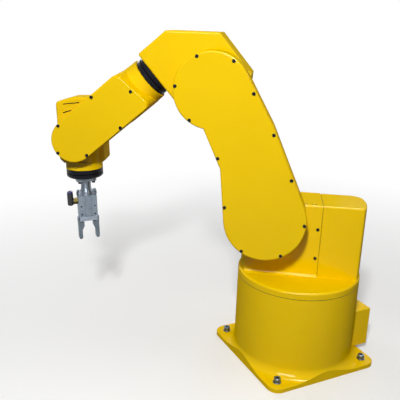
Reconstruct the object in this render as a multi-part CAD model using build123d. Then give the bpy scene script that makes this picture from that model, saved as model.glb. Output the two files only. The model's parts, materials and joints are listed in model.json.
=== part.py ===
from build123d import *
import math
import os

os.makedirs("parts", exist_ok=True)

# Articulated six-axis arm with a two-finger parallel gripper, millimetres, +Z up.
# Origin at the centre of the base plate's underside, X forward, Y left.
# The arm is drawn in its own upright plane and then turned about Z to its heading.

# Heading of the arm, and the lean of each link at rest, degrees
heading = -33.0
arm_lean = 24.7
forearm_drop = 40.5
tool_lean = 2.0
gripper_turn = 28.0

# Joint places
shoulder_x = 73.0
shoulder_z = 310.0
arm_link = 250.0
elbow_offset = 88.0
forearm_link = 270.0

# Base
column_r = 120.0
column_top = 172.4
plate_margin = 2.0
plate_t = 9.0
plate_corner_r = 22.0
plate_edge_r = 1.5
bolt_inset = 22.0
bolt_hole_r = 4.5
foot_flare = 20.0
box_overhang = 23.0
box_half_w = 66.0
box_low_z = 15.0
box_high_z = 97.0
box_edge_r = 1.5
panel_margin = 8.0
panel_t = 3.0
panel_corner_r = 5.0
panel_edge = 0.8
slew_bore_r = 70.0
slew_bore_depth = 40.0

# Turret
seam_gap = 1.0
disc_t = 13.0
disc_edge_r = 4.0
turret_half_w = 43.0
turret_front_inset = 5.0
turret_rise = 20.0
turret_seam_x = -33.0
turret_rear_inset = 2.5
turret_edge_r = 4.0
turret_far_corner_r = 26.0
seam_slot_w = 1.2
seam_slot_depth = 3.0
turret_foot_r = 7.0
shoulder_boss_r = 60.0
cap_r = 54.0
cap_t = 8.0
cap_edge_r = 3.0

# Upper arm, drawn along its link from the shoulder
arm_gap = 5.0
arm_casting_t = 46.0
arm_cover_t = 6.0
arm_cover_inset = 0.6
arm_low_r = 75.0
arm_high_r = 67.0
arm_back_knee = (153.0, -76.0)
arm_front_knee = (118.0, 38.5)
arm_edge_r = 3.0
arm_inner_edge_r = 5.0

# Pivots
shoulder_hub_r = 54.0
shoulder_pin_r = 40.0
elbow_hub_r = 48.0
elbow_pin_r = 34.0
pivot_depth = 30.0
roll_pin_r = 30.0
roll_pin_len = 40.0
wrist_hub_r = 29.0
wrist_pin_r = 20.0
wrist_pin_len = 14.0
flange_pin_r = 22.0
flange_pin_len = 26.0

# Elbow block, drawn along the forearm from the elbow
elbow_half_w = 43.0
elbow_front = 73.0
elbow_back = -66.0
elbow_top = 131.5
elbow_low = -58.0
elbow_top_cut_x = 7.0
elbow_top_cut_y = 68.5
elbow_low_cut_x = 30.0
elbow_low_cut_y = -22.0
elbow_edge_r = 4.0
elbow_cover_t = 6.0
elbow_cover_inset = 8.0
elbow_cover_edge_r = 2.0

# Roll rings between elbow and forearm
ring_r = 37.7
rear_ring_t = 9.2
front_ring_t = 9.0
ring_gap = 0.8
ring_edge = 0.8

# Forearm: round neck running into a flat-sided arm that carries the wrist on one side
neck_start_r = 40.8
side_arm_r = 42.0
taper_len = 24.0
body_len = 84.0
body_end_r = 9.0
side_arm_inner_y = 36.0
side_arm_outer_y = 54.0
shoulder_low = 108.0
shoulder_high = 122.0
shoulder_low_r = 12.0
shoulder_high_r = 15.0
shoulder_reach = 13.0
forearm_cover_t = 6.0
forearm_cover_inset = 1.0
forearm_cover_edge_r = 2.2

# Wrist housing, drawn from the wrist axis with the tool axis pointing down
wrist_far_y = -40.0
wrist_face_y = 4.0
wrist_gap = 5.0
wrist_boss_r = 38.0
wrist_front = 50.0
wrist_back = -42.5
wrist_top = 75.0
wrist_top_break = 14.0
wrist_top_break_r = 30.0
wrist_top_slope = 10.0
wrist_low = -57.0
wrist_front_r = 8.0
wrist_back_r = 25.0
wrist_front_cut = 8.0
wrist_back_cut = 10.0
wrist_edge_r = 5.0
collar_r = 36.0
collar_low = -63.5
collar_round_top = -48.0
slot_w = 2.2
slot_depth = 2.5
slots = (((1.0, 64.5), (34.0, 60.8)), ((17.7, 49.4), (35.4, 44.2)))

# Tool end, downwards from the wrist axis
wrist_ring_t = 9.0
tool_flange_t = 8.2
flange_chamfer = 3.0
adapter_side = 40.0
adapter_corner_r = 9.0
adapter_t = 8.5
neck_r = 10.0
neck_flare_r = 13.5
neck_flare_h = 8.0
neck_flare_bow = 0.2
tool_edge = 0.5
neck_len = 23.0
clamp_half_w = 20.5
clamp_depth = 18.0
clamp_corner_r = 7.0
clamp_t = 8.0

# Gripper, jaws sliding along its own X
gripper_w = 37.5
gripper_d = 22.0
gripper_h = 45.0
gripper_edge_r = 1.2
gripper_groove_w = 3.0
gripper_groove_depth = 1.4
gripper_groove_x = 6.3
gripper_hole_x = 13.3
gripper_hole_low = 5.5
gripper_hole_pitch = 17.0
gripper_hole_r = 1.7
gripper_hole_depth = 6.0
rail_w = 36.0
rail_h = 9.0
slot_head_w = 11.0
slot_head_h = 3.4
slot_neck_w = 6.5
slot_neck_h = 3.0
jaw_in_x = 9.5
jaw_end_t = 3.0
jaw_foot_t = 3.0
finger_in_x = 13.5
finger_t = 7.6
finger_d = 13.0
finger_len = 36.0
finger_tip_r = 3.5
pad_t = 4.5
pad_flat = 8.0
pad_taper = 9.0

# Air fitting
fitting_drop = 11.5
fitting_nut_af = 12.0
fitting_nut_len = 8.3
fitting_body_r = 6.0
fitting_low = 9.0
fitting_high = 17.0
fitting_end_r = 3.5
fitting_stub_r = 4.5
fitting_ring_r = 5.6
fitting_ring_wall = 2.2
fitting_ring_len = 4.0

# Clearances
running_fit = 0.05
face_gap = 0.4
end_gap = 0.3

# Frames
to_heading = Rot(0, 0, heading)
lean = math.radians(arm_lean)
drop = math.radians(forearm_drop)
arm_dir = (math.sin(lean), 0, math.cos(lean))
fore_dir = (math.cos(drop), 0, -math.sin(drop))
fore_up = (math.sin(drop), 0, math.cos(drop))
shoulder = (shoulder_x, 0, shoulder_z)
elbow = tuple(s + arm_link * d for s, d in zip(shoulder, arm_dir))
roll_origin = tuple(e + elbow_offset * n for e, n in zip(elbow, fore_up))
wrist = tuple(r + forearm_link * d for r, d in zip(roll_origin, fore_dir))
tool_place = Pos(*wrist) * Rot(0, tool_lean, 0)
gripper_place = tool_place * Rot(0, 0, gripper_turn)
upright = (Align.CENTER, Align.CENTER, Align.MIN)


def save(shape, node):
    """Turn a shape from the arm's plane to its heading and write it."""
    export_step(to_heading * shape, f"parts/{node}.step")


def side_plane(at, along, y):
    """A drawing plane at right angles to Y, its first axis along a link."""
    return Plane(origin=(at[0], y, at[2]), x_dir=along, z_dir=(0, -1, 0))


def slab(face, at, along, y_near, y_far):
    """A flat outline given thickness from y_near towards y_far."""
    return extrude(side_plane(at, along, y_near) * face, amount=y_near - y_far)


def cross_rod(at, r, y_near, y_far):
    """A round rod along Y through a point of the arm's plane."""
    return Pos(at[0], (y_near + y_far) / 2, at[2]) * Rot(90, 0, 0) * Cylinder(r, abs(y_near - y_far))


def fore_plane(along):
    """A drawing plane across the forearm's axis, first axis along Y, second up."""
    origin = tuple(r + along * d for r, d in zip(roll_origin, fore_dir))
    return Plane(origin=origin, x_dir=(0, -1, 0), z_dir=fore_dir)


def fore_rod(r, start, end):
    """A round rod along the forearm's axis, start and end counted from the elbow."""
    return extrude(fore_plane(start) * Circle(r), amount=end - start)


def bevelled(ring, r):
    """A round piece with its outer edges of radius r cut back."""
    rims = [e for e in ring.edges().filter_by(GeomType.CIRCLE) if abs(e.radius - r) < end_gap]
    return chamfer(rims, ring_edge)


def drum(r, high, low):
    """A round piece about the tool axis between two heights."""
    return Pos(0, 0, low) * Cylinder(r, high - low, align=upright)


def bar(w, d, high, low, x=0, y=0):
    """A square-edged piece along the tool axis between two heights."""
    return Pos(x, y, (high + low) / 2) * Box(w, d, high - low)


def tangent_point(point, centre, r, turn):
    """Where the line from a point touches a circle, on the side given by turn."""
    dx = point[0] - centre[0]
    dy = point[1] - centre[1]
    swing = math.atan2(dy, dx) + turn * math.acos(r / math.hypot(dx, dy))
    return (centre[0] + r * math.cos(swing), centre[1] + r * math.sin(swing))


def arm_outline(inset):
    """The upper arm's outline: two round ends, a straight back and a waisted front."""
    low_r = arm_low_r - inset
    high_r = arm_high_r - inset
    back = (arm_back_knee[0], arm_back_knee[1] + inset)
    front = (arm_front_knee[0], arm_front_knee[1] - inset)
    low_front = tangent_point(front, (0, 0), low_r, 1)
    low_back = tangent_point(back, (0, 0), low_r, -1)
    high_back = tangent_point(back, (arm_link, 0), high_r, 1)
    high_front = (arm_link - math.sqrt(high_r**2 - front[1] ** 2), front[1])
    flip = lambda p: (p[0], -p[1])
    lines = Line(flip(low_back), flip(back))
    lines += Line(flip(back), flip(high_back))
    lines += ThreePointArc(flip(high_back), (arm_link + high_r, 0), flip(high_front))
    lines += Line(flip(high_front), flip(front))
    lines += Line(flip(front), flip(low_front))
    lines += ThreePointArc(flip(low_front), (-low_r, 0), flip(low_back))
    return make_face(lines)


def fore_outline(inset, reach=0):
    """The forearm's side outline: a round wrist end, straight edges and a leaning rounded shoulder."""
    r = side_arm_r - inset
    low = (shoulder_low + inset - reach, elbow_offset - r)
    high = (shoulder_high + inset - reach, elbow_offset + r)
    lines = Line(low, (forearm_link, elbow_offset - r))
    lines += ThreePointArc(
        (forearm_link, elbow_offset - r), (forearm_link + r, elbow_offset), (forearm_link, elbow_offset + r)
    )
    lines += Line((forearm_link, elbow_offset + r), high)
    lines += Line(high, low)
    face = make_face(lines)
    face = fillet(face.vertices().sort_by_distance(low)[0], shoulder_low_r - inset)
    return fillet(face.vertices().sort_by_distance(high)[0], shoulder_high_r - inset)


def on_plate_rim(edge):
    """Whether an edge follows the plate's outline, at its top or above."""
    straight = plate_side / 2 - plate_corner_r
    for spot in (edge @ 0.1, edge @ 0.5, edge @ 0.9):
        out = math.hypot(max(abs(spot.X) - straight, 0), max(abs(spot.Y) - straight, 0))
        if spot.Z < plate_t - end_gap or abs(out - plate_corner_r) > end_gap:
            return False
    return True


# Base casting: bolted plate, round column with a soft foot, and the connection box behind
plate_side = 2 * (column_r + plate_margin)
bolt_spacing = plate_side - 2 * bolt_inset
plate_face = RectangleRounded(plate_side, plate_side, plate_corner_r)
plate = extrude(plate_face, amount=plate_t)
foot_r = column_r + foot_flare
foot_z = plate_t + foot_flare
bend = foot_flare * math.sqrt(0.5)
column_lines = Line((0, 0), (foot_r, 0))
column_lines += Line((foot_r, 0), (foot_r, plate_t))
column_lines += ThreePointArc((foot_r, plate_t), (foot_r - bend, foot_z - bend), (column_r, foot_z))
column_lines += Line((column_r, foot_z), (column_r, column_top))
column_lines += Line((column_r, column_top), (0, column_top))
column_lines += Line((0, column_top), (0, 0))
column = revolve(Plane.XZ * make_face(column_lines), Axis.Z)
column &= extrude(plate_face, amount=column_top)
box_len = column_r + box_overhang
box_mid_z = (box_low_z + box_high_z) / 2
box = Pos(-box_len / 2, 0, box_mid_z) * Box(box_len, 2 * box_half_w, box_high_z - box_low_z)
box = fillet(box.faces().sort_by(Axis.X)[0].edges() + box.edges().filter_by(Axis.X), box_edge_r)
base = plate + column
base = fillet([e for e in base.edges() if on_plate_rim(e)], plate_edge_r) + box
bore_floor = column_top - slew_bore_depth
base -= Pos(0, 0, bore_floor) * Cylinder(slew_bore_r + running_fit, slew_bore_depth, align=upright)
for spot in GridLocations(bolt_spacing, bolt_spacing, 2, 2):
    base -= spot * Cylinder(bolt_hole_r, 4 * plate_t)
export_step(base, "parts/base_casting.step")

panel_w = 2 * (box_half_w - panel_margin)
panel_h = box_high_z - box_low_z - 2 * panel_margin
panel = Pos(-box_len - panel_t / 2, 0, box_mid_z) * Box(panel_t, panel_w, panel_h)
panel = fillet(panel.edges().filter_by(Axis.X), panel_corner_r)
panel = chamfer(panel.faces().sort_by(Axis.X)[0].edges(), panel_edge)
export_step(panel, "parts/connection_panel.step")

# Turret: slewing disc and shoulder housing in one casting
disc_low_z = column_top + seam_gap
disc_top_z = disc_low_z + disc_t
turret_top_z = shoulder_z + turret_rise
disc = drum(column_r, disc_top_z, disc_low_z)
disc = fillet(disc.edges().group_by(Axis.Z)[-1], disc_edge_r)
spigot = drum(slew_bore_r, disc_low_z, bore_floor + end_gap)
front_r = column_r - turret_front_inset
boss_back_x = shoulder_x - math.sqrt(shoulder_boss_r**2 - turret_rise**2)
front_x = shoulder_x + shoulder_boss_r
side_lines = Line((turret_seam_x, disc_top_z), (turret_seam_x, turret_top_z))
side_lines += Line((turret_seam_x, turret_top_z), (boss_back_x, turret_top_z))
side_lines += ThreePointArc(
    (boss_back_x, turret_top_z), (shoulder_x, shoulder_z + shoulder_boss_r), (front_x, shoulder_z)
)
side_lines += Line((front_x, shoulder_z), (front_x, disc_top_z))
side_lines += Line((front_x, disc_top_z), (turret_seam_x, disc_top_z))
shoulder_face = make_face(side_lines)
boss_corner = shoulder_face.vertices().sort_by_distance((boss_back_x, turret_top_z))[0]
shoulder_face = fillet(boss_corner, turret_edge_r)
housing = slab(shoulder_face, (0, 0, 0), (1, 0, 0), turret_half_w, -turret_half_w)
for face in (housing.faces().sort_by(Axis.Y)[0], housing.faces().sort_by(Axis.Y)[-1]):
    rim = [e for e in face.edges() if (e @ 0.5).Z > shoulder_z]
    housing = fillet([e for e in rim if (e @ 0.5).X > turret_seam_x + end_gap], turret_edge_r)
housing &= Cylinder(front_r, 4 * turret_top_z)
cove_face = make_face(
    Line((turret_half_w, disc_top_z), (turret_half_w + turret_foot_r, disc_top_z))
    + ThreePointArc(
        (turret_half_w + turret_foot_r, disc_top_z),
        (
            turret_half_w + turret_foot_r * (1 - math.sqrt(0.5)),
            disc_top_z + turret_foot_r * (1 - math.sqrt(0.5)),
        ),
        (turret_half_w, disc_top_z + turret_foot_r),
    )
    + Line((turret_half_w, disc_top_z + turret_foot_r), (turret_half_w, disc_top_z))
)
cove = extrude(
    Plane(origin=(turret_seam_x, 0, 0), x_dir=(0, 1, 0), z_dir=(1, 0, 0)) * cove_face,
    amount=front_x - turret_seam_x,
)
cove += mirror(cove, Plane.XZ)
cove &= Cylinder(front_r, 4 * turret_top_z)
housing -= cross_rod(shoulder, shoulder_pin_r + running_fit, turret_half_w, turret_half_w - pivot_depth)
turret = disc + spigot + housing + cove
save(turret, "turret_casting")

# Rear cover, round behind like the column, with a narrow shadow slot along its seam
turret_h = turret_top_z - disc_top_z
rear_r = column_r - turret_rear_inset
rear_start_x = turret_seam_x - seam_slot_w
behind = (Align.MAX, Align.CENTER, Align.MIN)
rear = Pos(rear_start_x, 0, disc_top_z) * Box(rear_r, 2 * turret_half_w, turret_h, align=behind)
rear &= Cylinder(rear_r, 4 * turret_top_z)
corners = [e for e in rear.edges().filter_by(Axis.Z) if (e @ 0.5).X < rear_start_x - end_gap]
rear = fillet(min(corners, key=lambda e: (e @ 0.5).Y), turret_far_corner_r)
corners = [e for e in rear.edges().filter_by(Axis.Z) if (e @ 0.5).X < rear_start_x - end_gap]
rim = [e for e in rear.edges().group_by(Axis.Z)[-1] if (e @ 0.5).X < rear_start_x - end_gap]
rear = fillet(rim + [max(corners, key=lambda e: (e @ 0.5).Y)], turret_edge_r)
core_w = 2 * (turret_half_w - seam_slot_depth)
rear += Pos(turret_seam_x, 0, disc_top_z) * Box(seam_slot_w, core_w, turret_h - seam_slot_depth, align=behind)
save(rear, "turret_rear_cover")

cap = cross_rod(shoulder, cap_r, -turret_half_w, -turret_half_w - cap_t)
cap = fillet(cap.edges().group_by(Axis.Y)[0], cap_edge_r)
save(cap, "shoulder_cap")

# Upper arm: waisted casting on one side of the turret, closed by a screwed cover
arm_inner_y = turret_half_w + arm_gap
arm_outer_y = arm_inner_y + arm_casting_t
casting = slab(arm_outline(0), shoulder, arm_dir, arm_outer_y, arm_inner_y)
casting = fillet(casting.faces().sort_by(Axis.Y)[0].edges(), arm_inner_edge_r)
casting -= cross_rod(elbow, elbow_pin_r + running_fit, arm_inner_y + pivot_depth, arm_inner_y)
save(casting, "upper_arm_casting")
arm_cover = slab(arm_outline(arm_cover_inset), shoulder, arm_dir, arm_outer_y + arm_cover_t, arm_outer_y)
arm_cover = fillet(arm_cover.faces().sort_by(Axis.Y)[-1].edges(), arm_edge_r)
save(arm_cover, "upper_arm_cover")
hub = cross_rod(shoulder, shoulder_hub_r, arm_inner_y, turret_half_w + face_gap)
hub += cross_rod(shoulder, shoulder_pin_r, turret_half_w + face_gap, turret_half_w - pivot_depth + end_gap)
save(hub, "shoulder_hub")

# Elbow block with its far cover, hub and rear roll ring
block_points = [
    (elbow_front, elbow_top),
    (elbow_top_cut_x, elbow_top),
    (elbow_back, elbow_top_cut_y),
    (elbow_back, elbow_low_cut_y),
    (-elbow_low_cut_x, elbow_low),
    (elbow_low_cut_x, elbow_low),
    (elbow_front, elbow_low_cut_y),
]
block_face = make_face(Polyline(*block_points, close=True))
block = slab(block_face, elbow, fore_dir, elbow_half_w, -elbow_half_w)
block = fillet(block.edges(), elbow_edge_r)
block -= fore_rod(roll_pin_r + running_fit, elbow_front - roll_pin_len, elbow_front + ring_gap)
save(block, "elbow_block")
cover_face = offset(block_face, -elbow_cover_inset)
elbow_cover = slab(cover_face, elbow, fore_dir, -elbow_half_w, -elbow_half_w - elbow_cover_t)
elbow_cover = fillet(elbow_cover.faces().sort_by(Axis.Y)[0].edges(), elbow_cover_edge_r)
save(elbow_cover, "elbow_far_cover")
arm_face_y = arm_inner_y - face_gap
elbow_hub = cross_rod(elbow, elbow_hub_r, arm_face_y, elbow_half_w)
elbow_hub += cross_rod(elbow, elbow_pin_r, arm_inner_y + pivot_depth - end_gap, arm_face_y)
save(elbow_hub, "elbow_hub")
front_ring_at = elbow_front + rear_ring_t + ring_gap
rear_ring = bevelled(fore_rod(ring_r, elbow_front, elbow_front + rear_ring_t), ring_r)
rear_ring -= fore_rod(roll_pin_r + running_fit, elbow_front - ring_gap, front_ring_at)
save(rear_ring, "roll_ring_rear")

# Forearm: front roll ring with its shaft, casting and screwed cover
neck_at = front_ring_at + front_ring_t
front_ring = bevelled(fore_rod(ring_r, front_ring_at, neck_at), ring_r)
front_ring += fore_rod(roll_pin_r, elbow_front - roll_pin_len + end_gap, front_ring_at)
save(front_ring, "roll_ring_front")

body_end = neck_at + body_len
neck_end = neck_at + taper_len
neck = loft([fore_plane(neck_at) * Circle(neck_start_r), fore_plane(neck_end) * Circle(side_arm_r)])
tube = fore_rod(side_arm_r, neck_end, body_end)
tube = fillet(tube.edges().filter_by(GeomType.CIRCLE).sort_by(Axis.X)[-1], body_end_r)
side_arm = slab(fore_outline(0), elbow, fore_dir, side_arm_outer_y, side_arm_inner_y)
web_end = body_end - body_end_r
behind_web = Pos(web_end, elbow_offset) * Rectangle(
    2 * web_end, 4 * side_arm_r, align=(Align.MAX, Align.CENTER)
)
flank = loft(
    [
        side_plane(elbow, fore_dir, 0) * (fore_outline(0, shoulder_reach) & behind_web),
        side_plane(elbow, fore_dir, side_arm_outer_y) * (fore_outline(0) & behind_web),
    ]
)
forearm = neck + tube + side_arm + flank
wrist_bore_floor = side_arm_inner_y + wrist_pin_len + end_gap
forearm -= cross_rod(wrist, wrist_pin_r + running_fit, wrist_bore_floor, side_arm_inner_y)
save(forearm, "forearm_casting")

cover_y = side_arm_outer_y + forearm_cover_t
fore_cover = slab(fore_outline(forearm_cover_inset), elbow, fore_dir, cover_y, side_arm_outer_y)
fore_cover = fillet(fore_cover.faces().sort_by(Axis.Y)[-1].edges(), forearm_cover_edge_r)
save(fore_cover, "forearm_cover")

# Wrist housing: rounded can on the far side, round stem and boss towards the forearm, two slots
wrist_face = make_face(
    Polyline(
        (wrist_front, wrist_low + wrist_front_cut),
        (wrist_front, wrist_top - wrist_top_slope),
        (wrist_top_break, wrist_top),
        (wrist_back, wrist_top),
        (wrist_back, wrist_low + wrist_back_cut),
        (wrist_back + wrist_back_cut, wrist_low),
        (wrist_front - wrist_front_cut, wrist_low),
        close=True,
    )
)
wrist_corners = {
    (wrist_front, wrist_top - wrist_top_slope): wrist_front_r,
    (wrist_back, wrist_top): wrist_back_r,
    (wrist_top_break, wrist_top): wrist_top_break_r,
}
for corner, r in wrist_corners.items():
    wrist_face = fillet(wrist_face.vertices().sort_by_distance(corner)[0], r)
can = slab(wrist_face, (0, 0, 0), (1, 0, 0), wrist_face_y, wrist_far_y)
can = fillet(can.faces().sort_by(Axis.Y)[0].edges() + can.faces().sort_by(Axis.Y)[-1].edges(), wrist_edge_r)
wrist_near_y = side_arm_inner_y - wrist_gap
stem = drum(collar_r, 0, collar_low)
near_side = Pos(0, wrist_near_y, collar_round_top) * Box(
    4 * collar_r, 2 * collar_r, -2 * collar_round_top, align=(Align.CENTER, Align.MIN, Align.MIN)
)
stem -= near_side
boss = cross_rod((0, 0, 0), wrist_boss_r, wrist_near_y, 0)
housing = can + stem + boss
for start, end in slots:
    mid = ((start[0] + end[0]) / 2, (start[1] + end[1]) / 2)
    tilt = math.degrees(math.atan2(end[1] - start[1], end[0] - start[0]))
    length = math.hypot(end[0] - start[0], end[1] - start[1])
    slot_face = Pos(*mid) * Rot(0, 0, tilt) * SlotOverall(length, slot_w)
    housing -= slab(slot_face, (0, 0, 0), (1, 0, 0), wrist_face_y, wrist_face_y - slot_depth)
housing -= drum(flange_pin_r + running_fit, collar_low + flange_pin_len, collar_low)
save(tool_place * housing, "wrist_housing")
wrist_hub = cross_rod(wrist, wrist_hub_r, side_arm_inner_y - face_gap, wrist_near_y)
wrist_hub += cross_rod(wrist, wrist_pin_r, side_arm_inner_y + wrist_pin_len, side_arm_inner_y - face_gap)
save(wrist_hub, "wrist_hub")
wrist_ring_low = collar_low - wrist_ring_t
wrist_ring = bevelled(drum(collar_r, collar_low, wrist_ring_low), collar_r)
wrist_ring -= drum(flange_pin_r + running_fit, collar_low + ring_gap, wrist_ring_low - ring_gap)
save(tool_place * wrist_ring, "wrist_ring")

# Tool flange, adapter, neck and clamp
flange_top = wrist_ring_low - ring_gap
flange_low = flange_top - tool_flange_t
flange = drum(collar_r, flange_top, flange_low)
flange = chamfer(flange.edges().group_by(Axis.Z)[0], flange_chamfer)
flange += drum(flange_pin_r, collar_low + flange_pin_len - end_gap, flange_top)
save(tool_place * flange, "tool_flange")

adapter_low = flange_low - adapter_t
adapter = extrude(RectangleRounded(adapter_side, adapter_side, adapter_corner_r), amount=adapter_t)
adapter = chamfer(adapter.edges().group_by(Axis.Z)[0], tool_edge)
save(gripper_place * Pos(0, 0, adapter_low) * adapter, "adapter_flange")
neck_low = adapter_low - neck_len
flare_top = neck_low + neck_flare_h
flare_out = neck_flare_r - neck_r
neck_lines = Line((0, adapter_low), (neck_r, adapter_low))
neck_lines += Line((neck_r, adapter_low), (neck_r, flare_top))
flare_mid = (0.5 - neck_flare_bow) * flare_out
neck_lines += ThreePointArc(
    (neck_r, flare_top), (neck_r + flare_mid, neck_low + neck_flare_h / 2), (neck_flare_r, neck_low)
)
neck_lines += Line((neck_flare_r, neck_low), (0, neck_low))
neck_lines += Line((0, neck_low), (0, adapter_low))
neck = revolve(Plane.XZ * make_face(neck_lines), Axis.Z)
save(gripper_place * neck, "adapter_neck")
clamp_low = neck_low - clamp_t
ears = extrude(RectangleRounded(2 * clamp_half_w, clamp_depth, clamp_corner_r), amount=clamp_t)
ears = chamfer(ears.edges().group_by(Axis.Z)[0] + ears.edges().group_by(Axis.Z)[-1], tool_edge)
clamp = Pos(0, 0, clamp_low) * ears + drum(neck_flare_r, neck_low, clamp_low)
save(gripper_place * clamp, "clamp_plate")

# Gripper body with its grooves and mounting holes
body_low = clamp_low - gripper_h
body = bar(gripper_w, gripper_d, clamp_low, body_low)
body = fillet(body.edges().filter_by(Axis.Z), gripper_edge_r)
body = chamfer(body.edges().group_by(Axis.Z)[0] + body.edges().group_by(Axis.Z)[-1], tool_edge)
for side in (-1, 1):
    for face in (-1, 1):
        groove_x = side * gripper_groove_x
        groove_y = face * (gripper_d - gripper_groove_depth) / 2
        body -= bar(gripper_groove_w, gripper_groove_depth, clamp_low, body_low, groove_x, groove_y)
        for row in (0, 1):
            hole_z = body_low + gripper_hole_low + row * gripper_hole_pitch
            hole = Rot(90, 0, 0) * Cylinder(gripper_hole_r, 2 * gripper_hole_depth)
            body -= Pos(side * gripper_hole_x, face * gripper_d / 2, hole_z) * hole
save(gripper_place * body, "gripper_body")

# Rail with a T-shaped slot that carries both jaws
rail_low = body_low - rail_h
head_low = rail_low + slot_neck_h
head_high = head_low + slot_head_h
rail = bar(rail_w, gripper_d, body_low, rail_low)
rail = fillet(rail.edges().filter_by(Axis.Z), gripper_edge_r)
rail = chamfer(rail.edges().group_by(Axis.Z)[0] + rail.edges().group_by(Axis.Z)[-1], tool_edge)
rail -= bar(2 * rail_w, slot_head_w, head_high, head_low)
rail -= bar(2 * rail_w, slot_neck_w, head_low, rail_low)
save(gripper_place * rail, "gripper_rail")

# Jaws running in the slot, each with its tapered finger
rail_end = rail_w / 2 + face_gap
foot_top = rail_low - face_gap
foot_low = foot_top - jaw_foot_t
finger_out_x = finger_in_x + finger_t
finger_low = foot_low - finger_len
tongue_len = rail_end + jaw_end_t - jaw_in_x
tongue_low = head_low + running_fit
for side, name in ((1, "front"), (-1, "rear")):
    tongue_x = side * (jaw_in_x + tongue_len / 2)
    jaw = bar(tongue_len, slot_head_w - 2 * running_fit, head_high - running_fit, tongue_low, tongue_x)
    jaw += bar(tongue_len, slot_neck_w - 2 * running_fit, tongue_low, foot_low, tongue_x)
    jaw += bar(jaw_end_t, finger_d, body_low - face_gap, foot_low, side * (rail_end + jaw_end_t / 2))
    foot_len = rail_end + jaw_end_t - finger_in_x
    jaw += bar(foot_len, finger_d, foot_top, foot_low, side * (finger_in_x + foot_len / 2))
    save(gripper_place * jaw, f"jaw_{name}")
    pad_x = finger_in_x - pad_t
    profile = Polyline(
        (side * pad_x, foot_low),
        (side * pad_x, foot_low - pad_flat),
        (side * finger_in_x, foot_low - pad_flat - pad_taper),
        (side * finger_in_x, finger_low),
        (side * finger_out_x, finger_low),
        (side * finger_out_x, foot_low),
        close=True,
    )
    finger = slab(make_face(profile), (0, 0, 0), (1, 0, 0), finger_d / 2, -finger_d / 2)
    finger = fillet(finger.edges().filter_by(Axis.Y).group_by(Axis.Z)[0], finger_tip_r)
    sides = finger.faces().sort_by(Axis.Y)
    finger = chamfer(sides[0].edges() + sides[-1].edges(), tool_edge)
    save(gripper_place * finger, f"finger_{name}")

# Air fitting on the front end of the gripper body: nut, elbow and release ring
nut_x = gripper_w / 2
fitting_z = clamp_low - fitting_drop
nut_face = RegularPolygon(fitting_nut_af / 2, 6, major_radius=False)
nut_plane = Plane(origin=(nut_x, 0, fitting_z), x_dir=(0, 1, 0), z_dir=(1, 0, 0))
nut = extrude(nut_plane * nut_face, amount=fitting_nut_len)
save(gripper_place * nut, "fitting_thread")
fitting_x = nut_x + fitting_nut_len + fitting_body_r
fitting = Pos(fitting_x, 0, 0) * drum(fitting_body_r, fitting_z + fitting_high, fitting_z - fitting_low)
fitting = fillet(fitting.edges().group_by(Axis.Z)[0], fitting_end_r)
stub = Pos(fitting_x - fitting_body_r / 2, 0, fitting_z) * Rot(0, 90, 0)
fitting += stub * Cylinder(fitting_stub_r, fitting_body_r)
save(gripper_place * fitting, "fitting_elbow")
ring_top = fitting_z + fitting_high + fitting_ring_len
release = drum(fitting_ring_r, ring_top, fitting_z + fitting_high)
release -= drum(fitting_ring_r - fitting_ring_wall, ring_top, fitting_z + fitting_high)
save(gripper_place * Pos(fitting_x, 0, 0) * release, "fitting_release_ring")
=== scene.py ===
"""Looks of a six-axis arm with a parallel gripper: paint, metals, screws, lamps and camera. Metres, +Z up."""

import json
import math

import bmesh
import bpy
import numpy as np
from mathutils import Matrix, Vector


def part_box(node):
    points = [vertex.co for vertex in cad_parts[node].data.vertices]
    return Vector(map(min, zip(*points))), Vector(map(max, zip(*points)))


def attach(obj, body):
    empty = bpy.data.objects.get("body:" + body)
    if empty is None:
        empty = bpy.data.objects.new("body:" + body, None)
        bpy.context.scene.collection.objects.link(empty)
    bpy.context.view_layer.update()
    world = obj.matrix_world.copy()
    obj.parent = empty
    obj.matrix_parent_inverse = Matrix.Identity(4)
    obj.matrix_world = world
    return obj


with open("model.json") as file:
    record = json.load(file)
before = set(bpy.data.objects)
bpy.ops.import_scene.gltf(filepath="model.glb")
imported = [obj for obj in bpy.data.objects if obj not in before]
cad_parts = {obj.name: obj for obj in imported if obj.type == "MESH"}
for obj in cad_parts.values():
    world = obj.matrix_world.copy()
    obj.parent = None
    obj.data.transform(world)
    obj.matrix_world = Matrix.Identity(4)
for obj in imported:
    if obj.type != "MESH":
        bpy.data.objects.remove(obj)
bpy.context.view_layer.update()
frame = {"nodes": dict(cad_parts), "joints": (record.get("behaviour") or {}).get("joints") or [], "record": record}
nodes = frame["nodes"]
joints = {joint["name"]: joint for joint in frame["joints"]}
MM = 0.001

# Screws, in millimetres: head radius, head height, socket width across flats, rounding of the head's shoulder
COVER_SCREW = (3.1, 1.6, 2.5, 0.9)
CAP_SCREW = (6.5, 8.0, 6.0, 0.8)
ADAPTER_SCREW = (3.5, 4.0, 3.0, 0.5)
CLAMP_SCREW = (2.75, 3.0, 2.5, 0.4)

# A screw's socket: its depth and the cone under it as shares of the head's height, its mouth as a share of
# the socket's width, and the bevel there as a share of the head's radius
SOCKET_DEPTH = 0.6
SOCKET_CONE = 0.15
SOCKET_MOUTH = 1.08
SOCKET_BEVEL = 0.04

# Washers of the base's bolts: outer radius, thickness and bore radius, their bevel in and down, and the top
# of the plate that they lie on
WASHER = (8.0, 1.6, 4.4)
WASHER_BEVEL = (0.3, 0.32)
PLATE_TOP = 9.0

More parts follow.
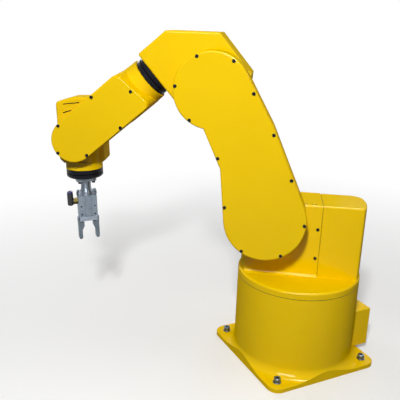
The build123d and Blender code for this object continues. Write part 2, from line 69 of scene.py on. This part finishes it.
# Cover screws of the upper arm: turns about each end in degrees, and places along and across the link
ARM_SCREW_LOW_R = 70.4
ARM_SCREW_HIGH_R = 62.4
ARM_SCREW_LOW_TURNS = (122.0, 183.0, 244.0)
ARM_SCREW_HIGH_TURNS = (-60.0, 0.0, 60.0, 120.0)
ARM_SCREW_SIDES = ((55.4, -71.0), (141.1, -71.0), (219.0, -65.0), (51.0, 56.8), (138.6, 34.0))

# Cover screws of the forearm, along and across from the wrist axis
FOREARM_SCREW_OFFSET = 37.6
FOREARM_SCREWS_HIGH = (-84.1, 1.9)
FOREARM_SCREWS_LOW = (-90.5, -4.5)
FOREARM_SCREW_ENDS = (-148.5, 37.6)

# Screws of the turret's near side, back from the shoulder and up from it
SEAM_SCREWS = ((-100.0, -27.0), (-100.0, -85.0))

# Plugs in the turret's top: places back from the shoulder, inset from the near side, radius and height of the
# dark ring of painted shade under each, and the painted dome's profile
CROWN_PLUGS = (-90.0, -72.0)
CROWN_PLUG_INSET = 10.5
CROWN_PLUG_SHADE_RING = (4.6, 0.15)
CROWN_PLUG_DOME = ((0, 0.2), (3.7, 0.2), (3.7, 0.7), (3.3, 1.1), (2.0, 1.4), (0, 1.5))

# Dark strip of painted shade in the turret's seam: its place and width, how far its outer and inner sides lie
# inside the turret's outline, that outline's two corners, and the steps round each
SEAM_BACK = -106.0
SEAM_SHADE_W = 1.1
SEAM_SHADE_INSETS = (0.8, 2.9)
TURRET_EDGE_R = 4.0
TURRET_FAR_CORNER_R = 26.0
SEAM_SHADE_CORNER_STEPS = 9

# Screws of the covers on the far side and behind
CAP_SCREW_RING = 45.0
CAP_SCREW_COUNT = 6
ELBOW_COVER_SCREWS = (
    (58.0, 116.5), (12.6, 116.5), (-51.0, 61.6), (-51.0, -15.8), (-23.8, -43.0), (23.8, -43.0), (58.0, -15.8),
)
PANEL_SCREW_INSET = 7.0

# Screws of the tool end, out from its axis
ADAPTER_SCREW_OUT = 13.4
CLAMP_SCREW_OUT = 16.6

# Dark ring of painted shade in the gap under the slewing disc: outer and inner radius, the gap it lies in, its
# share of that gap, and the steps round it
GAP_SHADE_OUTER_R = 119.9
GAP_SHADE_INNER_R = 112.0
SLEW_GAP = 1.0
GAP_SHADE_SHARE = 0.9
GAP_SHADE_STEPS = 180

# Slots in the wrist housing's near face: where the face lies, the slots' ends from the wrist axis, half the
# width of the dark strips of painted shade in them, the strips' bottom and top below the face, and the steps round
# each
WRIST_FACE = 4.0
WRIST_SLOTS = (((1.0, 64.5), (34.0, 60.8)), ((17.7, 49.4), (35.4, 44.2)))
WRIST_SLOT_SHADE_R = 0.7
WRIST_SLOT_SHADE_DEPTHS = (2.45, 1.7)
WRIST_SLOT_STEPS = 32

# Meshes: points closer than this are one, edges shorter than this go, and sharper angles stay sharp
WELD = 1e-7
SLIVER = 1e-8
SHARP_DEGREES = 35

# A direction that no screw's axis lies along
ASKEW = (0.31, 0.87, 0.38)

# Studio: the floor's radius in millimetres and the steps round it, how far out it stays pale and from where
# it is white in metres, its colour, its own glow, what other light finds there, and the light from all round
FLOOR_R = 30000.0
FLOOR_STEPS = 96
FLOOR_PALE_TO = 0.35
FLOOR_WHITE_FROM = 1.6
FLOOR_COLOUR = (0.78, 0.78, 0.78, 1.0)
FLOOR_GLOW = (0.15, 0.15, 0.15, 1.0)
FLOOR_UNSEEN = (0.16, 0.16, 0.16, 1.0)
WORLD_LIGHT = 0.10
BLACK = (0.0, 0.0, 0.0, 1.0)
WHITE = (1.0, 1.0, 1.0, 1.0)

# Lamps: name, place, point faced, size, watts, and whether they light surfaces and shine in their gloss
KEY_PLACE = (0.933, 1.043, 1.40)
KEY_AIM = (0.15, 0.0, 0.36)
LAMPS = (
    ("key", KEY_PLACE, KEY_AIM, 0.16, 28.5, True, False),
    ("key glow", KEY_PLACE, KEY_AIM, 0.8, 44.0, False, True),
    ("overhead glow", (-0.12, 0.145, 1.34), (-0.05, 0.03, 0.33), 0.50, 30.0, False, True),
    ("side", (-0.8, 0.55, 1.9), (0.1, 0.0, 0.4), 0.9, 4.0, True, True),
    ("back fill", (-1.62, -1.05, 0.9), (0.0, 0.0, 0.3), 1.0, 9.0, True, True),
    ("far fill", (0.30, -1.85, 0.8), (0.15, 0.0, 0.35), 1.0, 11.0, True, True),
)

# Camera fitted to the photograph, with its roll in degrees and its lens and sensor in millimetres
CAMERA_PLACE = (0.63007, 0.83590, 0.64438)
CAMERA_AIM = (0.23412, 0.02116, 0.35816)
CAMERA_ROLL = 1.81
CAMERA_LENS = 50.07
CAMERA_SENSOR = 36.0


def unit(vector):
    """A vector divided by its length."""
    vector = np.asarray(vector, float)
    return vector / np.linalg.norm(vector)


def joint_place(name):
    """A joint's point in the frame."""
    return np.array(joints[name]["pos_m"], float)


def vertices(node):
    """All vertices of a node as one array."""
    mesh = nodes[node].data
    flat = np.empty(len(mesh.vertices) * 3, np.float32)
    mesh.vertices.foreach_get("co", flat)
    return flat.reshape(-1, 3).astype(float)


def reach(node, direction):
    """How far a node goes along a direction: the largest dot product over its vertices."""
    return float((vertices(node) @ direction).max())


def on_face(point, direction, node):
    """A point moved along a direction until it lies on the node's furthest face that way."""
    point = np.asarray(point, float)
    return point + (reach(node, direction) - point @ direction) * direction


# Directions of the arm, from its joints
UP = np.array([0.0, 0.0, 1.0])
shoulder = joint_place("j2_shoulder")
elbow = joint_place("j3_elbow")
wrist = joint_place("j5_wrist")
near = unit(joints["j2_shoulder"]["axis"])
forward = unit(np.cross(near, UP))
arm_along = unit(elbow - shoulder)
arm_front = np.cross(near, arm_along)
fore_along = unit(joints["j4_roll"]["axis"])
fore_up = np.cross(fore_along, near)
tool_up = unit(joints["j6_tool"]["axis"])
jaw_along = unit(joints["jaw_open"]["axis"])
jaw_side = np.cross(tool_up, jaw_along)


class Field:
    """A shader value. Arithmetic on it adds Math nodes to the finish it belongs to."""

    def __init__(self, finish, socket):
        self.finish = finish
        self.socket = socket

    def _math(self, operation, first, second):
        return self.finish.node("ShaderNodeMath", {"operation": operation}, {0: first, 1: second})

    def __add__(self, other):
        return self._math("ADD", self, other)

    def __radd__(self, other):
        return self._math("ADD", other, self)

    def __sub__(self, other):
        return self._math("SUBTRACT", self, other)

    def __rsub__(self, other):
        return self._math("SUBTRACT", other, self)

    def __mul__(self, other):
        return self._math("MULTIPLY", self, other)

    def __rmul__(self, other):
        return self._math("MULTIPLY", other, self)


class Wiring:
    """A tree of shader nodes that is built up from fields."""

    def __init__(self, tree):
        self.tree = tree

    def node(self, kind, settings=None, sockets=None, output=0):
        """A node of this kind: its settings first, then the values or links of its sockets."""
        made = self.tree.nodes.new(kind)
        for key, value in (settings or {}).items():
            setattr(made, key, value)
        for key, value in (sockets or {}).items():
            self.feed(made.inputs[key], value)
        return Field(self, made.outputs[output])

    def feed(self, socket, value):
        """Links a field to a socket, or sets a plain value there."""
        if isinstance(value, Field):
            self.tree.links.new(value.socket, socket)
        else:
            socket.default_value = value

    def seen(self):
        """1 where the camera, a mirror or glass looks, and 0 for other light."""
        camera_ray = self.node("ShaderNodeLightPath", output="Is Camera Ray")
        mirror_ray = self.node("ShaderNodeLightPath", output="Is Glossy Ray")
        glass_ray = self.node("ShaderNodeLightPath", output="Is Transmission Ray")
        rays = camera_ray + mirror_ray + glass_ray
        return self.node("ShaderNodeMath", {"operation": "MINIMUM"}, {0: rays, 1: 1.0})


class Finish(Wiring):
    """One material with a principled shader."""

    def __init__(self, name, **constants):
        self.material = bpy.data.materials.new(name)
        self.material.use_nodes = True
        super().__init__(self.material.node_tree)
        self.shader = self.tree.nodes["Principled BSDF"]
        self.shade(**constants)

    def shade(self, **values):
        """Feeds fields or plain values to the shader's own sockets."""
        for socket, value in values.items():
            self.feed(self.shader.inputs[socket.replace("_", " ")], value)
        return self.material

    def place(self):
        """Object coordinates, in metres."""
        return self.node("ShaderNodeTexCoord", output="Object")

    def noise(self, place, scale, detail):
        """Smooth noise from 0 to 1 with this many lumps a metre."""
        return self.node("ShaderNodeTexNoise", None, {"Vector": place, "Scale": scale, "Detail": detail})

    def ramp(self, value, low, high):
        """0 below low, 1 above high, straight between."""
        return self.node("ShaderNodeMapRange", None, {"Value": value, "From Min": low, "From Max": high})

    def mix(self, share, first, second):
        """One colour turning into another as share goes from 0 to 1, by the node's colour sockets."""
        return self.node("ShaderNodeMix", {"data_type": "RGBA"}, {0: share, 6: first, 7: second}, output=2)

    def bump(self, height, distance, strength, under=None):
        """A bump of this height in metres, over an earlier one if given."""
        sockets = {"Height": height, "Distance": distance, "Strength": strength}
        if under:
            sockets["Normal"] = under
        return self.node("ShaderNodeBump", None, sockets)


def paint_finish(name, colour, deep, dirt):
    """Glossy paint: faint unevenness of the casting, orange peel, small specks and slightly uneven gloss."""
    finish = Finish(name, Specular_IOR_Level=0.0, Coat_IOR=4.0, Coat_Roughness=0.10)
    place = finish.place()
    cloud = finish.noise(place, scale=9.0, detail=3.0)
    peel = finish.noise(place, scale=900.0, detail=1.0)
    waves = finish.noise(place, scale=38.0, detail=2.0)
    smear = finish.noise(place, scale=26.0, detail=5.0)
    speck = finish.ramp(finish.noise(place, scale=420.0, detail=2.0), low=0.70, high=0.78)
    tone = finish.mix(finish.ramp(cloud, low=0.3, high=0.75), colour, deep)
    tone = finish.mix(speck * 0.10, tone, dirt)
    height = finish.bump(waves, distance=0.0006, strength=0.12)
    height = finish.bump(peel, distance=0.00008, strength=0.18, under=height)
    gloss = 0.42 + 0.12 * smear + 0.10 * speck
    coat = 0.030 - 0.012 * smear
    return finish.shade(Base_Color=tone, Roughness=gloss, Coat_Weight=coat, Normal=height)


def black_finish(name, colour, worn):
    """Black oxide with a bluish cast and fine turning marks."""
    finish = Finish(name, Specular_IOR_Level=0.12)
    place = finish.place()
    cloud = finish.noise(place, scale=60.0, detail=4.0)
    grain = finish.noise(place, scale=1600.0, detail=2.0)
    tone = finish.mix(cloud, colour, worn)
    gloss = 0.24 + 0.16 * cloud
    height = finish.bump(grain, distance=0.00004, strength=0.35)
    return finish.shade(Base_Color=tone, Roughness=gloss, Normal=height)


def metal_finish(name, colour, dull, rough, streaks, turned=0.0):
    """Ground metal: streaks along one direction, given as lumps a metre in X, Y and Z. Turned metal has its
    highlights drawn out along its axis."""
    finish = Finish(name, Metallic=1.0, Anisotropic=turned, Anisotropic_Rotation=0.25)
    place = finish.place()
    stretched = finish.node("ShaderNodeMapping", None, {"Vector": place, "Scale": streaks})
    lines = finish.noise(stretched, scale=1.0, detail=3.0)
    cloud = finish.noise(place, scale=70.0, detail=4.0)
    tone = finish.mix(finish.ramp(cloud, low=0.3, high=0.8), colour, dull)
    gloss = rough + 0.18 * (lines - 0.5) + 0.12 * (cloud - 0.5)
    height = finish.bump(lines, distance=0.00005, strength=0.4)
    return finish.shade(Base_Color=tone, Roughness=gloss, Normal=height)


def plastic_finish(name, colour, rough):
    """Moulded plastic with a fine grain, and lighter by a third in places."""
    finish = Finish(name)
    place = finish.place()
    grain = finish.noise(place, scale=2500.0, detail=1.0)
    cloud = finish.noise(place, scale=90.0, detail=3.0)
    lighter = tuple(1.35 * part for part in colour[:3]) + (1.0,)
    tone = finish.mix(cloud, colour, lighter)
    gloss = rough + 0.12 * cloud
    height = finish.bump(grain, distance=0.00005, strength=0.3)
    return finish.shade(Base_Color=tone, Roughness=gloss, Normal=height)


finishes = {
    "yellow_paint": paint_finish(
        "yellow_paint", colour=(0.86, 0.565, 0.0, 1.0), deep=(0.83, 0.535, 0.0, 1.0),
        dirt=(0.25, 0.16, 0.02, 1.0),
    ),
    "machined_steel": metal_finish(
        "machined_steel", colour=(0.185, 0.215, 0.255, 1.0), dull=(0.13, 0.15, 0.18, 1.0), rough=0.40,
        streaks=(300.0, 300.0, 2600.0), turned=0.85,
    ),
    "black_ring": black_finish(
        "black_ring", colour=(0.003, 0.003, 0.006, 1.0), worn=(0.008, 0.009, 0.014, 1.0)
    ),
    "anodised_body": metal_finish(
        "anodised_body", colour=(0.22, 0.265, 0.315, 1.0), dull=(0.17, 0.205, 0.245, 1.0), rough=0.48,
        streaks=(1800.0, 1800.0, 60.0),
    ),
    "finger_steel": metal_finish(
        "finger_steel", colour=(0.155, 0.19, 0.225, 1.0), dull=(0.11, 0.135, 0.16, 1.0), rough=0.34,
        streaks=(1500.0, 1500.0, 120.0),
    ),
    "ground_rail": metal_finish(
        "ground_rail", colour=(0.31, 0.36, 0.43, 1.0), dull=(0.25, 0.29, 0.35, 1.0), rough=0.42,
        streaks=(120.0, 120.0, 1500.0),
    ),
    "brass": metal_finish(
        "brass", colour=(0.09, 0.07, 0.022, 1.0), dull=(0.065, 0.05, 0.015, 1.0), rough=0.42,
        streaks=(900.0, 900.0, 900.0),
    ),
    "black_plastic": plastic_finish("black_plastic", colour=(0.008, 0.008, 0.010, 1.0), rough=0.32),
    "blue_plastic": plastic_finish("blue_plastic", colour=(0.014, 0.016, 0.10, 1.0), rough=0.30),
}


def wear(piece, finish):
    """Gives a piece one of the finishes."""
    piece.data.materials.clear()
    piece.data.materials.append(finishes[finish])
    return piece


# The rail is ground brighter than the fingers, whose slot it shares
for part in frame["record"]["subparts"]:
    wear(nodes[part["node"]], part["material_slot"])
wear(nodes["gripper_rail"], "ground_rail")


def new_shape(name, points, faces):
    """A new object from arrays of points and faces, welded and turned outwards."""
    mesh = bpy.data.meshes.new(name)
    mesh.from_pydata(points.tolist(), [], faces.tolist())
    shape = bmesh.new()
    shape.from_mesh(mesh)
    bmesh.ops.remove_doubles(shape, verts=shape.verts, dist=WELD)
    bmesh.ops.dissolve_degenerate(shape, dist=SLIVER, edges=shape.edges)
    bmesh.ops.recalc_face_normals(shape, faces=shape.faces)
    shape.to_mesh(mesh)
    shape.free()
    mesh.shade_smooth()
    mesh.set_sharp_from_angle(angle=math.radians(SHARP_DEGREES))
    piece = bpy.data.objects.new(name, mesh)
    bpy.context.scene.collection.objects.link(piece)
    return piece


def add_piece(name, points, faces, body, slot):
    """A new piece with the finish of a slot, riding on a body."""
    piece = wear(new_shape(name, points, faces), slot)
    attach(piece, body)


def grid_faces(rows, columns):
    """Quads of a grid whose columns close on themselves: each cell joins a point to the ones right of it and
    below it."""
    row, column = np.meshgrid(np.arange(rows - 1), np.arange(columns), indexing="ij")
    upper, lower = row * columns, (row + 1) * columns
    right = (column + 1) % columns
    cells = np.stack([upper + column, upper + right, lower + right, lower + column], axis=-1)
    return cells.reshape(-1, 4)


def socket_head(head_r, head_h, flats, dome, columns=36):
    """A socket screw's head: rings of circles up the side and over a rounded shoulder of size dome, then
    hexagons down into the socket. A hexagon's radius is half the flats over the cosine of the turn from
    the middle of its nearest side."""
    turn = np.linspace(0, 2 * math.pi, columns, endpoint=False)
    hexagon = flats / 2 / np.cos((turn % (math.pi / 3)) - math.pi / 6)
    bend = np.radians([0, 22.5, 45, 67.5, 90])
    radii = [np.zeros(columns), np.full(columns, head_r)]
    heights = [0.0, 0.0]
    for angle in bend:
        radii.append(np.full(columns, head_r - dome + dome * math.cos(angle)))
        heights.append(head_h - dome + dome * math.sin(angle))
    floor = head_h - SOCKET_DEPTH * head_h
    radii += [hexagon * SOCKET_MOUTH, hexagon, hexagon, np.zeros(columns)]
    heights += [head_h, head_h - SOCKET_BEVEL * head_r, floor, floor - SOCKET_CONE * head_h]
    radii = np.array(radii)
    heights = np.tile(np.array(heights)[:, None], columns)
    return np.stack([radii * np.cos(turn), radii * np.sin(turn), heights], -1) * MM


def lathe(profile, columns=48):
    """A turned shape: each profile point, a radius and a height in millimetres, swept round the axis."""
    profile = np.array(profile, float) * MM
    turn = np.linspace(0, 2 * math.pi, columns, endpoint=False)
    radius = profile[:, :1]
    return np.stack([radius * np.cos(turn), radius * np.sin(turn), np.tile(profile[:, 1:], columns)], -1)


def repeat(name, rings, places, axis, body, slot):
    """Copies of one turned shape, set at several places with its own axis along a direction, as one mesh."""
    axis = unit(axis)
    side = unit(np.cross(axis, ASKEW))
    basis = np.stack([side, np.cross(axis, side), axis])
    local = rings.reshape(-1, 3) @ basis
    places = np.asarray(places, float).reshape(-1, 1, 3)
    points = (places + local[None]).reshape(-1, 3)
    faces = grid_faces(rings.shape[0], rings.shape[1])
    shift = np.arange(len(places))[:, None, None] * len(local)
    add_piece(name, points, (faces[None] + shift).reshape(-1, 4), body, slot)


def upper_arm_screws():
    """Twelve screws round the cover's rim: on a circle about each end, and along both sides."""
    def ring(radius, turns, start):
        turns = np.radians(turns)[:, None]
        return start + radius * MM * (np.cos(turns) * arm_along + np.sin(turns) * arm_front)

    sides = np.array(ARM_SCREW_SIDES) * MM
    places = np.concatenate([
        ring(ARM_SCREW_LOW_R, ARM_SCREW_LOW_TURNS, shoulder),
        ring(ARM_SCREW_HIGH_R, ARM_SCREW_HIGH_TURNS, elbow),
        shoulder + sides[:, :1] * arm_along + sides[:, 1:] * arm_front,
    ])
    places = [on_face(place, near, "upper_arm_cover") for place in places]
    repeat("upper_arm_cover_screws", socket_head(*COVER_SCREW), places, near, "upper_arm", "black_ring")


def forearm_screws():
    """Six screws round the forearm's cover: two along each edge and one at each end."""
    places = [
        wrist + MM * (along * fore_along + side * FOREARM_SCREW_OFFSET * fore_up)
        for side, row in ((1, FOREARM_SCREWS_HIGH), (-1, FOREARM_SCREWS_LOW))
        for along in row
    ]
    places += [wrist + MM * along * fore_along for along in FOREARM_SCREW_ENDS]
    places = [on_face(place, near, "forearm_cover") for place in places]
    repeat("forearm_cover_screws", socket_head(*COVER_SCREW), places, near, "forearm", "black_ring")


def base_bolts():
    """Cap screws with washers in the four holes of the base plate."""
    pattern = next(mount for mount in frame["record"]["mounts"] if mount["kind"] == "bolt_pattern")
    half = np.array([pattern["dims"]["spacing_x_mm"], pattern["dims"]["spacing_y_mm"]]) * MM / 2
    corners = np.array([(x * half[0], y * half[1], PLATE_TOP * MM) for x in (-1, 1) for y in (-1, 1)])
    outer, thick, bore = WASHER
    bevel_in, bevel_down = WASHER_BEVEL
    washer = lathe([
        (bore, 0), (outer, 0), (outer, thick - bevel_down),
        (outer - bevel_in, thick), (bore, thick), (bore, 0),
    ])
    repeat("base_washers", washer, corners, UP, "base", "finger_steel")
    repeat("base_bolts", socket_head(*CAP_SCREW), corners + thick * MM * UP, UP, "base", "finger_steel")


def turret_screws():
    """Two dark screws beside the turret's seam, and two painted plugs near the edge of its top, each on a dark
    ring of painted shade.
    """
    places = [shoulder + MM * (back * forward + up * UP) for back, up in SEAM_SCREWS]
    places = [on_face(place, near, "turret_rear_cover") for place in places]
    repeat("turret_seam_screws", socket_head(*COVER_SCREW), places, near, "turret", "black_ring")
    inset = reach("turret_rear_cover", near) - CROWN_PLUG_INSET * MM
    plugs = [shoulder + MM * back * forward for back in CROWN_PLUGS]
    plugs = [plug + (inset - plug @ near) * near for plug in plugs]
    plugs = [on_face(plug, UP, "turret_rear_cover") for plug in plugs]
    # a thin dark ring under each dome: painted shade round the plug's foot
    rim_r, rim_h = CROWN_PLUG_SHADE_RING
    rim = lathe([(0, 0), (rim_r, 0), (rim_r, rim_h), (0, rim_h)])
    repeat("turret_plug_shade_rings", rim, plugs, UP, "turret", "black_ring")
    repeat("turret_crown_plugs", lathe(CROWN_PLUG_DOME), plugs, UP, "turret", "yellow_paint")


def turret_seam_shade():
    """A dark strip of painted shade in the turret's seam, standing in for the shade there. Its path goes up the
    near side, over the top and down the far side, with a quarter circle at each corner, and its section is a
    rectangle between two insets from that outline."""
    low, high = [corner[2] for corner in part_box("turret_rear_cover")]
    middle = shoulder + SEAM_BACK * MM * forward
    half = reach("turret_rear_cover", near) - middle @ near
    quarter = np.linspace(0, math.pi / 2, SEAM_SHADE_CORNER_STEPS)

    def outline(inset):
        near_r = (TURRET_EDGE_R - inset) * MM
        far_r = (TURRET_FAR_CORNER_R - inset) * MM
        near_at = half - TURRET_EDGE_R * MM
        far_at = -half + TURRET_FAR_CORNER_R * MM
        side = np.concatenate([
            [half - inset * MM], near_at + near_r * np.cos(quarter),
            far_at - far_r * np.sin(quarter), [-half + inset * MM],
        ])
        rise = np.concatenate([
            [low], high - TURRET_EDGE_R * MM + near_r * np.sin(quarter),
            high - TURRET_FAR_CORNER_R * MM + far_r * np.cos(quarter), [low],
        ])
        return side[:, None] * near + (rise - middle[2])[:, None] * UP

    outer, inner = [outline(inset) for inset in SEAM_SHADE_INSETS]
    shift = SEAM_SHADE_W / 2 * MM * forward
    loop = np.stack([outer - shift, outer + shift, inner + shift, inner - shift], axis=1)
    centre = loop.mean(axis=1, keepdims=True)
    rows = np.concatenate([centre[:1].repeat(4, axis=1), loop, centre[-1:].repeat(4, axis=1)])
    points = middle + rows.reshape(-1, 3)
    # a dark strip of painted shade along the seam
    add_piece("turret_seam_shade", points, grid_faces(len(rows), 4), "turret", "black_ring")


def far_side_screws():
    """Screws of the shoulder cap, the elbow's far cover and the panel behind the base."""
    turns = np.linspace(0, 2 * math.pi, CAP_SCREW_COUNT, endpoint=False)[:, None]
    ring = shoulder + CAP_SCREW_RING * MM * (np.cos(turns) * forward + np.sin(turns) * UP)
    places = [on_face(place, -near, "shoulder_cap") for place in ring]
    repeat("shoulder_cap_screws", socket_head(*COVER_SCREW), places, -near, "turret", "black_ring")
    corners = [elbow + MM * (along * fore_along + up * fore_up) for along, up in ELBOW_COVER_SCREWS]
    places = [on_face(place, -near, "elbow_far_cover") for place in corners]
    repeat("elbow_cover_screws", socket_head(*COVER_SCREW), places, -near, "elbow", "black_ring")
    panel = vertices("connection_panel")
    low = panel.min(axis=0) + PANEL_SCREW_INSET * MM
    high = panel.max(axis=0) - PANEL_SCREW_INSET * MM
    places = [(panel[:, 0].min(), y, z) for y in (low[1], high[1]) for z in (low[2], high[2])]
    repeat("panel_screws", socket_head(*COVER_SCREW), places, (-1.0, 0.0, 0.0), "base", "black_ring")


def tool_screws():
    """Four screws under the adapter's corners and one on each ear of the clamp."""
    tool = joint_place("j6_tool")
    corners = [
        tool + ADAPTER_SCREW_OUT * MM * (along * jaw_along + side * jaw_side)
        for along in (-1, 1)
        for side in (-1, 1)
    ]
    places = [on_face(place, -tool_up, "adapter_flange") for place in corners]
    repeat("adapter_screws", socket_head(*ADAPTER_SCREW), places, -tool_up, "tool", "black_ring")
    ears = [tool + side * CLAMP_SCREW_OUT * MM * jaw_along for side in (-1, 1)]
    places = [on_face(place, tool_up, "clamp_plate") for place in ears]
    repeat("clamp_screws", socket_head(*CLAMP_SCREW), places, tool_up, "tool", "machined_steel")


def slew_gap_shade():
    """A dark ring of painted shade set back in the gap between the column and the slewing disc."""
    lower = reach("base_casting", UP) / MM + (1 - GAP_SHADE_SHARE) / 2 * SLEW_GAP
    upper = lower + GAP_SHADE_SHARE * SLEW_GAP
    profile = [(GAP_SHADE_INNER_R, lower), (GAP_SHADE_OUTER_R, lower), (GAP_SHADE_OUTER_R, upper), (GAP_SHADE_INNER_R, upper)]
    # a dark ring of painted shade filling most of the gap's height
    ring = lathe(profile + profile[:1], GAP_SHADE_STEPS)
    repeat("slew_gap_shade", ring, [(0.0, 0.0, 0.0)], UP, "base", "black_ring")


def painted_slot_shade():
    """Painted shade in the wrist housing's slots: a dark strip down each slot stands in for the shade there. A
    strip's outline is a circle cut in half across its length, with the halves moved to the slot's two ends.
    Rings of that outline go out from a line, up and back in."""
    turn = np.linspace(0, 2 * math.pi, WRIST_SLOT_STEPS, endpoint=False)
    tool_front = np.cross(near, tool_up)
    low, high = WRIST_SLOT_SHADE_DEPTHS
    rings = np.array([(0, low), (WRIST_SLOT_SHADE_R, low), (WRIST_SLOT_SHADE_R, high), (0, high)])
    faces = grid_faces(len(rings), len(turn))
    for spot, ends in enumerate(WRIST_SLOTS, 1):
        start, end = [
            wrist + MM * (along * tool_front + up * tool_up + WRIST_FACE * near) for along, up in ends
        ]
        along = unit(end - start)
        across = np.cross(near, along)
        middle = np.where(np.cos(turn)[:, None] > 0, end, start)
        rim = np.cos(turn)[:, None] * along + np.sin(turn)[:, None] * across
        points = middle + MM * (rings[:, :1, None] * rim - rings[:, 1:, None] * near)
        # dark strips of painted shade down the middle of the slots
        add_piece(f"wrist_slot_{spot}", points.reshape(-1, 3), faces, "wrist", "black_ring")


upper_arm_screws()
forearm_screws()
base_bolts()
turret_screws()
turret_seam_shade()
far_side_screws()
tool_screws()
slew_gap_shade()
painted_slot_shade()


def studio():
    """A wide pale floor under a white surround. The camera, mirrors and glass see the floor turn white away
    from the object, and other light finds both darker."""
    disc = lathe([(0, 0), (FLOOR_R, 0)], FLOOR_STEPS)
    floor = new_shape("floor", disc.reshape(-1, 3), grid_faces(*disc.shape[:2]))
    pale = Finish("pale_floor", Roughness=0.9, Specular_IOR_Level=0.1, Emission_Strength=1.0)
    away = pale.node("ShaderNodeVectorMath", {"operation": "LENGTH"}, {0: pale.place()}, output="Value")
    fade = pale.ramp(away, FLOOR_PALE_TO, FLOOR_WHITE_FROM)
    pale.shade(Base_Color=pale.mix(fade, FLOOR_COLOUR, BLACK))
    pale.shade(Emission_Color=pale.mix(fade, FLOOR_GLOW, WHITE))
    dark = pale.node("ShaderNodeBsdfDiffuse", None, {"Color": FLOOR_UNSEEN})
    shown = Field(pale, pale.shader.outputs[0])
    mixed = pale.node("ShaderNodeMixShader", None, {0: pale.seen(), 1: dark, 2: shown})
    pale.feed(pale.tree.nodes["Material Output"].inputs["Surface"], mixed)
    floor.data.materials.append(pale.material)

    world = bpy.data.worlds.new("surround")
    bpy.context.scene.world = world
    world.use_nodes = True
    surround = Wiring(world.node_tree)
    light = world.node_tree.nodes["Background"]
    light.inputs["Color"].default_value = WHITE
    surround.feed(light.inputs["Strength"], WORLD_LIGHT + (1.0 - WORLD_LIGHT) * surround.seen())


def set_facing(holder, place, aim, roll=0.0):
    """Puts an object at a place, looking down its -Z at a point, with its X level and then rolled about that
    line by an angle in degrees."""
    back = unit(np.subtract(place, aim))
    level = unit(np.cross(UP, back))
    turn = math.radians(roll)
    right = math.cos(turn) * level + math.sin(turn) * np.cross(back, level)
    matrix = np.eye(4)
    matrix[:3, :3] = np.stack([right, np.cross(back, right), back], axis=1)
    matrix[:3, 3] = place
    holder.matrix_world = Matrix(matrix)


def lamp(name, place, aim, size, power, lights, shines):
    """A square soft lamp at a place, facing a point. It lights surfaces, shines in their gloss, or both."""
    light = bpy.data.lights.new(name, "AREA")
    light.size = size
    light.energy = power
    holder = bpy.data.objects.new(name, light)
    bpy.context.scene.collection.objects.link(holder)
    set_facing(holder, place, aim)
    holder.visible_diffuse = lights
    holder.visible_glossy = shines


def camera():
    """The photograph's camera: a place, a point it looks at, and a slight roll about its line of sight."""
    lens = bpy.data.cameras.new("camera")
    lens.sensor_width = CAMERA_SENSOR
    lens.lens = CAMERA_LENS
    holder = bpy.data.objects.new("camera", lens)
    bpy.context.scene.collection.objects.link(holder)
    set_facing(holder, CAMERA_PLACE, CAMERA_AIM, CAMERA_ROLL)
    bpy.context.scene.camera = holder


studio()
for settings in LAMPS:
    lamp(*settings)
camera()
bpy.context.scene.view_settings.view_transform = "Standard"
